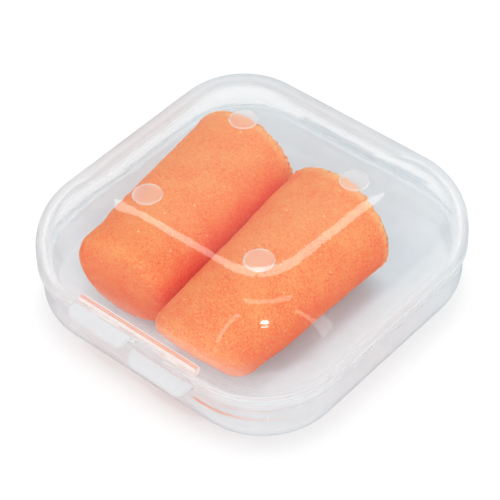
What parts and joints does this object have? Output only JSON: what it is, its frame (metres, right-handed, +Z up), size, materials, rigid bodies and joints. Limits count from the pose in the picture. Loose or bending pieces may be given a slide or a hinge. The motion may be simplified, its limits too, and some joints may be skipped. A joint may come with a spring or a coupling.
{
  "type": "foam ear plugs",
  "caption": "Pair of soft foam ear plugs in a small translucent rounded-square hinged snap case.",
  "frame": {"origin": "centre of the case's flat underside", "axes": "+Z up through the closed lid, -Y towards the latch at the front, +Y towards the hinge, +X to the right"},
  "size_m": [0.04, 0.0426, 0.017],
  "materials": {
    "case_plastic": "translucent natural polypropylene, satin gloss",
    "plug_foam": "matte fine-grained slow-recovery polyurethane foam"
  },
  "bodies": {
    "base": {"base_tray": "case_plastic", "base_finger_lug": "case_plastic", "base_hinge_leaf": "case_plastic"},
    "lid": {"lid_shell": "case_plastic", "lid_finger_lug": "case_plastic", "lid_hinge_leaf": "case_plastic"},
    "latch_tongue": {"base_latch_tongue": "case_plastic"},
    "plug_left": {"foam_plug_left": "plug_foam"},
    "plug_right": {"foam_plug_right": "plug_foam"}
  },
  "joints": [
    {"name": "lid_hinge", "type": "hinge", "parent": "base", "child": "lid", "pos_m": [0, 0.021, 0.0081], "axis": [-1, 0, 0], "range_deg": [0, 175]},
    {"name": "tongue_flex", "type": "hinge", "parent": "base", "child": "latch_tongue", "pos_m": [0, -0.0184, 0.00808], "axis": [-1, 0, 0], "range_deg": [0, 12]},
    {"name": "plug_left_shift", "type": "slide", "parent": "base", "child": "plug_left", "axis": [0.0819, -0.9966, 0], "range_m": [-0.0045, 0.002]},
    {"name": "plug_right_shift", "type": "slide", "parent": "base", "child": "plug_right", "axis": [0.0105, -0.9999, 0], "range_m": [-0.0045, 0]}
  ]
}
